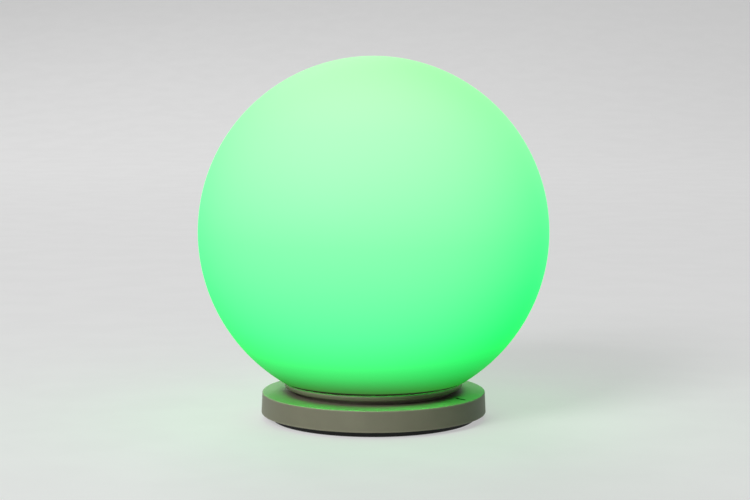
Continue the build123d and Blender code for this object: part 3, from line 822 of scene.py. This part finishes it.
def make_collar():
    """Barrel and rim with the groove for the neck, spigot, screw standoffs and key."""
    flange_bore = lamp_screw_circle - FLANGE_WIDTH
    collar = lathe(
        "lamp_collar",
        [
            (flange_bore, cover_top),
            (spigot_bore, cover_top),
            (spigot_bore, lamp_bottom),
            (barrel_radius, lamp_bottom),
            (barrel_radius, rim_bottom),
            (rim_radius - RIM_TAPER, rim_bottom),
            (rim_radius, rim_top),
            (groove_radius, rim_top),
            (groove_radius, groove_floor),
            (spigot_radius, groove_floor),
            (spigot_radius, spigot_top),
            (spigot_bore, spigot_top),
            (spigot_bore, flange_top),
            (flange_bore, flange_top),
        ],
        rounds=[
            (2, 0.15 * MM),
            (3, 0.25 * MM),
            (4, 0.3 * MM),
            (5, 0.7 * MM),
            (6, 1.1 * MM),
            (10, 0.2 * MM),
        ],
    )
    place = (lamp_screw_circle, 0)
    standoff = disc("standoff", STANDOFF_RADIUS, flange_top - OVERLAP, board_bottom, place)
    carve(collar, copies(standoff, DIAGONALS), "UNION")
    hole = disc("shank_hole", SHANK_RADIUS + SHANK_FIT, cover_top - CUT, board_bottom + CUT, place)
    carve(collar, copies(hole, DIAGONALS))
    key = key_bar("key", barrel_radius + KEY_REACH, KEY_WIDTH, lamp_bottom, lamp_bottom + KEY_HEIGHT)
    carve(collar, [soften(key, 0.15 * MM)], "UNION")
    return dress(collar, "lamp", "shell_plastic", "collar")


# ---- The lamp's underside ----------------------------------------------------------------------------
def screw_holes(circle, bottom, top, seat):
    """Tools for four counterbored holes, open below."""
    shank = disc("shank_hole", SHANK_RADIUS + SHANK_FIT, bottom - CUT, top + CUT, (circle, 0))
    head = disc("head_hole", HEAD_RADIUS + HEAD_FIT, bottom - CUT, seat, (circle, 0))
    return copies(carve(shank, [head], "UNION"), DIAGONALS)


def make_bottom_cover():
    """Closing plate with the button's hole, screw holes and pad pockets."""
    edge = reach("bottom_cover")
    hole = BUTTON_HOLE_RADIUS
    plate = lathe(
        "lamp_floor_plate",
        [(hole, lamp_bottom), (edge, lamp_bottom), (edge, cover_top), (hole, cover_top)],
        rounds=[(0, 0.3 * MM), (1, 0.3 * MM)],
    )
    seat = lowest("cover_screws") + HEAD_HEIGHT
    carve(plate, screw_holes(lamp_screw_circle, lamp_bottom, cover_top, seat))
    pocket_top = lamp_bottom + POCKET_DEPTH
    pocket = disc("pocket", POCKET_RADIUS, lamp_bottom - CUT, pocket_top, (pad_circle, 0))
    carve(plate, copies(pocket, QUARTERS))
    return dress(plate, "lamp", "shell_plastic", "bottom_cover")


def make_lamp_pads():
    """Four rubber pads with a rounded, slightly dished face."""
    bottom = lowest("lamp_pads")
    pad = disc("lamp_pad", PAD_RADIUS, bottom, highest("lamp_pads"), (pad_circle, 0))
    open_mesh(pad, "FACE")
    pick(pad, lambda points: max(point.z for point in points) < bottom + TINY, "FACE")
    bpy.ops.mesh.inset(thickness=PAD_RING)
    bpy.ops.transform.translate(value=(0, 0, PAD_DISH))
    close_mesh()
    soften(pad, 0.2 * MM, 3, radians(50))
    for copy in copies(pad, QUARTERS):
        dress(copy, "lamp", "foot_rubber", "lamp_pads")


def make_button():
    """Rubber cap with a dished face inside a raised ring, and its flange and stem."""
    bottom, top = lowest("power_button"), highest("power_button")
    flange_edge, rubber_top = reach("power_button"), cover_top + BUTTON_FLANGE
    button = lathe(
        "press_button",
        [
            (0, bottom + DISH_DEPTH),
            (DISH_RADIUS, bottom + DISH_EDGE),
            (RAISED_RING_RADIUS, bottom),
            (BUTTON_RADIUS, bottom),
            (BUTTON_RADIUS, cover_top),
            (flange_edge, cover_top),
            (flange_edge, rubber_top),
            (BUTTON_STEM_RADIUS, rubber_top),
            (BUTTON_STEM_RADIUS, top),
            (0, top),
        ],
        rounds=[(2, 0.1 * MM), (3, 0.4 * MM)],
        steps=96,
    )
    return dress(button, "button", "button_rubber", "power_button")


def make_screws(name, node, circle, body):
    """Pan-head screws, head down, with a domed head, a cross recess and a threaded shank."""
    bottom, tip = lowest(node), highest(node)
    head_top = bottom + HEAD_HEIGHT
    outline = [
        (0, bottom),
        (CROWN_RADIUS, bottom + CROWN_DROP),
        (HEAD_RADIUS, bottom + DOME_DROP),
        (HEAD_RADIUS, head_top),
        (SHANK_RADIUS, head_top),
    ]
    height = head_top + THREAD_PITCH
    while height + THREAD_PITCH < tip - SHANK_RADIUS:
        root = (SHANK_RADIUS - THREAD_DEPTH, height + THREAD_PITCH / 2)
        outline += [(SHANK_RADIUS, height), root]
        height += THREAD_PITCH
    outline += [(SHANK_RADIUS, tip - SHANK_RADIUS), (0, tip)]
    screw = lathe(name, outline, rounds=[(2, 0.3 * MM)], steps=SMALL_STEPS, segments=3)
    for angle in (0, pi / 2):
        slot = bar("slot", CROSS_LENGTH, CROSS_WIDTH, bottom - CUT, bottom + CROSS_DEPTH)
        carve(screw, [turn(slot, angle)])
    screw.data.transform(Matrix.Translation((circle, 0, 0)))
    for copy in copies(screw, DIAGONALS):
        dress(copy, body, "screw_steel", node, radians(25))


# ---- The dock ----------------------------------------------------------------------------------------
def make_dock_shell():
    """Moulded shell: recess and key notch, index mark, coil rim, ribbed screw bosses and socket slot."""
    rim_out = coil_rim_bore + COIL_RIM_WALL
    shell = lathe(
        "dock_shell",
        [
            (0, recess_floor),
            (recess_radius, recess_floor),
            (recess_radius, dock_plane),
            (dock_radius, dock_plane),
            (dock_low_radius, dock_bottom),
            (dock_bore, dock_bottom),
            (dock_bore, roof_underside),
            (rim_out, roof_underside),
            (rim_out, coil_rim_bottom),
            (coil_rim_bore, coil_rim_bottom),
            (coil_rim_bore, roof_underside),
            (0, roof_underside),
        ],
        rounds=[(2, 0.2 * MM), (3, DOCK_BEVEL), (4, DOCK_BEVEL), (5, 0.15 * MM)],
    )
    into_roof = roof_underside + OVERLAP
    boss = disc("boss", BOSS_RADIUS, base_top, into_roof, (dock_screw_circle, 0))
    rib_length = dock_bore - dock_screw_circle + OVERLAP
    rib_place = (dock_screw_circle + rib_length / 2, 0)
    rib = bar("rib", rib_length, RIB_THICKNESS, roof_underside - RIB_DEPTH, into_roof, rib_place)
    carve(shell, copies(carve(boss, [rib], "UNION"), DIAGONALS), "UNION")
    pilot_top = highest("dock_screws") + PILOT_SPARE
    pilot = disc("pilot", SHANK_RADIUS + PILOT_FIT, base_top - CUT, pilot_top, (dock_screw_circle, 0))
    carve(shell, copies(pilot, DIAGONALS))
    notch = key_bar("notch", barrel_radius + NOTCH_REACH, NOTCH_WIDTH, recess_floor, dock_plane + CUT)
    carve(shell, [notch, index_mark(), socket_slot()])
    return dress(shell, "dock", "shell_plastic", "dock_top")


def index_mark():
    """Tool for the short slanted groove in the dock's flat top."""
    mark = bar("mark", MARK_LENGTH, MARK_WIDTH, mark_floor, dock_plane + CUT)
    turn(mark, MARK_SLANT)
    mark.data.transform(Matrix.Translation((mark_radius, 0, 0)))
    return turn(mark, INDEX_TURN)


def socket_slot():
    """Tool with round corners for the slot in front of the socket."""
    lo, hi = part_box("usb_socket")
    width = 2 * (hi.x + SOCKET_FIT)
    tool = bar("slot", width, SLOT_REACH, lo.z - SOCKET_FIT, hi.z + SOCKET_FIT, (0, dock_radius))
    open_mesh(tool)
    pick(tool, lambda points: abs(points[0].y - points[1].y) > MM)
    bpy.ops.mesh.bevel(offset=SLOT_ROUND, segments=6)
    close_mesh()
    return tool


def make_dock_base():
    """Bottom plate with the foot's groove, counterbored holes, and posts under the board."""
    edge = reach("dock_base")
    groove_in, groove_out = foot_bore - FOOT_FIT, reach("foot_ring") + FOOT_FIT
    plate = lathe(
        "dock_floor_plate",
        [
            (0, dock_bottom),
            (groove_in, dock_bottom),
            (groove_in, foot_groove_top),
            (groove_out, foot_groove_top),
            (groove_out, dock_bottom),
            (edge, dock_bottom),
            (edge, base_top),
            (0, base_top),
        ],
        rounds=[(1, 0.15 * MM), (4, 0.15 * MM), (5, 0.2 * MM)],
    )
    seat = lowest("dock_screws") + HEAD_HEIGHT
    carve(plate, screw_holes(dock_screw_circle, dock_bottom, base_top, seat))
    board_low = lowest("dock_board")
    post_circle = dock_screw_circle - POST_INSET
    post = disc("post", POST_RADIUS, base_top - OVERLAP, board_low, (post_circle, 0))
    pin = disc("pin", PIN_RADIUS, base_top, highest("dock_base"), (post_circle, 0))
    posts = copies(carve(post, [pin], "UNION"), [POST_TURN + quarter for quarter in QUARTERS])
    lo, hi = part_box("usb_socket")
    tongue_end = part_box("dock_board")[1].y
    rest_place = (0, tongue_end - (hi.y - lo.y) / 2)
    rest = bar("rest", hi.x - lo.x, hi.y - lo.y, base_top - OVERLAP, board_low, rest_place)
    carve(plate, [*posts, rest], "UNION")
    return dress(plate, "dock", "shell_plastic", "dock_base")


def make_foot():
    """Rubber ring with a rounded foot and two fine grip grooves."""
    lo, edge = foot_bore, reach("foot_ring")
    outline = [(lo, foot_groove_top), (lo, 0)]
    for share in GRIP_SHARES:
        middle = lo + share * (edge - lo)
        outline += [
            (middle - GRIP_WIDTH, 0),
            (middle - GRIP_WIDTH / 2, GRIP_DEPTH),
            (middle + GRIP_WIDTH / 2, GRIP_DEPTH),
            (middle + GRIP_WIDTH, 0),
        ]
    outline += [(edge, 0), (edge, foot_groove_top)]
    foot = lathe("dock_foot", outline, rounds=[(1, 0.4 * MM), (len(outline) - 2, 0.4 * MM)])
    return dress(foot, "dock", "foot_rubber", "foot_ring")


def make_socket():
    """Folded metal case with round corners, open at the back of the dock, round a contact tongue."""
    lo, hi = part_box("usb_socket")
    middle = (lo.z + hi.z) / 2
    case = bar("power_socket", hi.x - lo.x, hi.y - lo.y, lo.z, hi.z, (0, (lo.y + hi.y) / 2))
    open_mesh(case)
    pick(case, lambda points: abs(points[0].y - points[1].y) > MM)
    bpy.ops.mesh.bevel(offset=SOCKET_ROUND, segments=6)
    pick(case, lambda points: min(point.y for point in points) > hi.y - TINY, "FACE")
    bpy.ops.mesh.inset(thickness=SOCKET_SKIN)
    hollow = (0, lo.y + SOCKET_BACK - hi.y, 0)
    bpy.ops.mesh.extrude_region_move(TRANSFORM_OT_translate={"value": hollow})
    close_mesh()
    soften(case, 0.06 * MM, 2, radians(60))
    length = hi.y - lo.y - SOCKET_BACK
    place = (0, (lo.y + hi.y) / 2)
    tongue = bar("tongue", TONGUE_WIDTH, length, middle - TONGUE_HALF, middle + TONGUE_HALF, place)
    carve(case, [soften(tongue, 0.1 * MM)], "UNION")
    return dress(case, "dock", "socket_metal", "usb_socket")


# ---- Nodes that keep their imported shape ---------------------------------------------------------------
KEPT = {
    "inner_housing": "housing_plastic",
    "led_cover": "frosted_plastic",
    "heat_spreader": "spreader_metal",
    "light_board": "white_board",
    "leds": "led_body",
    "light_ribbon": "ribbon_film",
    "battery": "cell_sleeve",
    "battery_cradle": "housing_plastic",
    "battery_leads": "lead_sheath",
    "control_board": "green_board",
    "control_parts": "chip_plastic",
    "button_switch": "chip_plastic",
    "receive_coil": "coil_wire",
    "receive_shield": "ferrite",
    "transmit_coil": "coil_wire",
    "transmit_shield": "ferrite",
    "dock_board": "green_board",
    "dock_parts": "chip_plastic",
}


def finish_kept_nodes():
    """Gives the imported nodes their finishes."""
    for node, slot in KEPT.items():
        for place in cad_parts[node].material_slots:
            place.material = FINISHES[slot]


# ---- Floor, light and camera ------------------------------------------------------------------------
FLOOR_SIZE = 8.0
BACKDROP_HEIGHT = 5.0
SWEEP_ROUND = 2.5
PAPER_LIFT = 0.46  # added to the floor and backdrop as they are seen, but not to the light they give
SKY_LIGHT = 0.06
SKY_LIFT = 0.5  # added where the sky is seen directly
KEY_LIGHT = ((-0.90, -1.42, 1.10), 0.7, 25.0)  # place, size and power
BACK_LIGHT = ((-0.4, 1.9, 1.4), 1.2, 13.0)
SPILL_COLOUR = (0.02, 1.0, 0.06)
SPILL_RADIUS = 66 * MM
SPILL_POWER = 0.58
LENS = 95.14
SENSOR_WIDTH = 36.0
CAMERA_PLACE = (0.00056, -0.7882, 0.15312)
CAMERA_DIP = radians(6.183)


def seen_directly(tree):
    """1 on rays from the camera or from a mirror or glass, 0 on rays that only carry light."""
    ray = add_node(tree, "ShaderNodeLightPath").outputs
    mirrored = sums(tree, "MAXIMUM", ray["Is Glossy Ray"], ray["Is Transmission Ray"])
    return sums(tree, "MAXIMUM", ray["Is Camera Ray"], mirrored)


def make_floor():
    """Plain pale floor that sweeps up into a backdrop."""
    clear_choice()
    bpy.ops.mesh.primitive_plane_add(size=FLOOR_SIZE)
    floor = named("studio_sweep")
    back = FLOOR_SIZE / 2 - MM
    open_mesh(floor)
    pick(floor, lambda points: min(point.y for point in points) > back)
    bpy.ops.mesh.extrude_edges_move(TRANSFORM_OT_translate={"value": (0, 0, BACKDROP_HEIGHT)})
    pick(
        floor,
        lambda points: min(point.y for point in points) > back
        and max(point.z for point in points) < TINY,
    )
    bpy.ops.mesh.bevel(offset=SWEEP_ROUND, segments=24)
    close_mesh()
    bpy.ops.object.shade_smooth()
    material, tree, shader, place = new_material("studio_paper", Roughness=0.85, Specular_IOR_Level=0.2)
    flecks = add_node(tree, "ShaderNodeTexNoise", {"Vector": place, "Scale": 30.0}).outputs[0]
    paper = colour_ramp(tree, flecks, [(0.3, (0.42, 0.42, 0.42)), (0.7, (0.44, 0.44, 0.44))])
    feed(tree, shader, Base_Color=paper)
    feed(tree, shader, Emission_Strength=sums(tree, "MULTIPLY", seen_directly(tree), PAPER_LIFT))
    shader.inputs["Emission Color"].default_value = (1, 1, 1, 1)
    floor.data.materials.append(material)


def softbox(name, place, size, power, aim=(0, 0, 0.06)):
    """Square area lamp that faces the object."""
    lamp = bpy.data.lights.new(name, "AREA")
    lamp.size = size
    lamp.energy = power
    holder = bpy.data.objects.new(name, lamp)
    holder.location = place
    holder.rotation_euler = (Vector(aim) - Vector(place)).to_track_quat("-Z", "Y").to_euler()
    bpy.context.collection.objects.link(holder)


def glow_spill():
    """The ball's green light on the dock's shell and the collar, which only the collar shades."""
    lamp = bpy.data.lights.new("glow_spill", "POINT")
    lamp.shadow_soft_size = SPILL_RADIUS
    lamp.energy = SPILL_POWER
    lamp.color = SPILL_COLOUR
    lamp.cycles.use_multiple_importance_sampling = False
    holder = bpy.data.objects.new("glow_spill", lamp)
    holder.location = (0, 0, ball_middle)
    holder.visible_camera = False
    bpy.context.collection.objects.link(holder)
    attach(holder, "lamp")
    lit = bpy.data.collections.new("lit_by_the_ball")
    for name in ("dock_shell", "lamp_collar"):
        lit.objects.link(bpy.data.objects[name])
    shading = bpy.data.collections.new("shades_the_dock")
    shading.objects.link(bpy.data.objects["lamp_collar"])
    holder.light_linking.receiver_collection = lit
    holder.light_linking.blocker_collection = shading


def make_light():
    """A large soft key light from the front left, a weaker one from behind and a faint sky."""
    softbox("key_light", *KEY_LIGHT)
    softbox("back_light", *BACK_LIGHT)
    glow_spill()
    world = bpy.data.worlds.new("studio")
    world.use_nodes = True
    sky = world.node_tree.nodes["Background"]
    sky.inputs["Color"].default_value = (1, 1, 1, 1)
    seen = seen_directly(world.node_tree)
    strength = sums(world.node_tree, "MULTIPLY_ADD", seen, SKY_LIFT, SKY_LIGHT)
    world.node_tree.links.new(strength, sky.inputs["Strength"])
    bpy.context.scene.world = world


def make_camera():
    """The photograph's view: a little higher than the ball's top, looking slightly down."""
    lens = bpy.data.cameras.new("camera")
    lens.lens = LENS
    lens.sensor_width = SENSOR_WIDTH
    camera = bpy.data.objects.new("camera", lens)
    camera.location = CAMERA_PLACE
    camera.rotation_euler = (pi / 2 - CAMERA_DIP, 0, 0)
    bpy.context.collection.objects.link(camera)
    bpy.context.scene.camera = camera


make_camera()
make_ball()
make_seal()
make_collar()
make_bottom_cover()
make_lamp_pads()
make_button()
make_screws("lamp_screw", "cover_screws", lamp_screw_circle, "lamp")
make_dock_shell()
make_dock_base()
make_foot()
make_socket()
make_screws("dock_screw", "dock_screws", dock_screw_circle, "dock")
finish_kept_nodes()
make_floor()
make_light()
bpy.context.scene.view_settings.view_transform = "Standard"
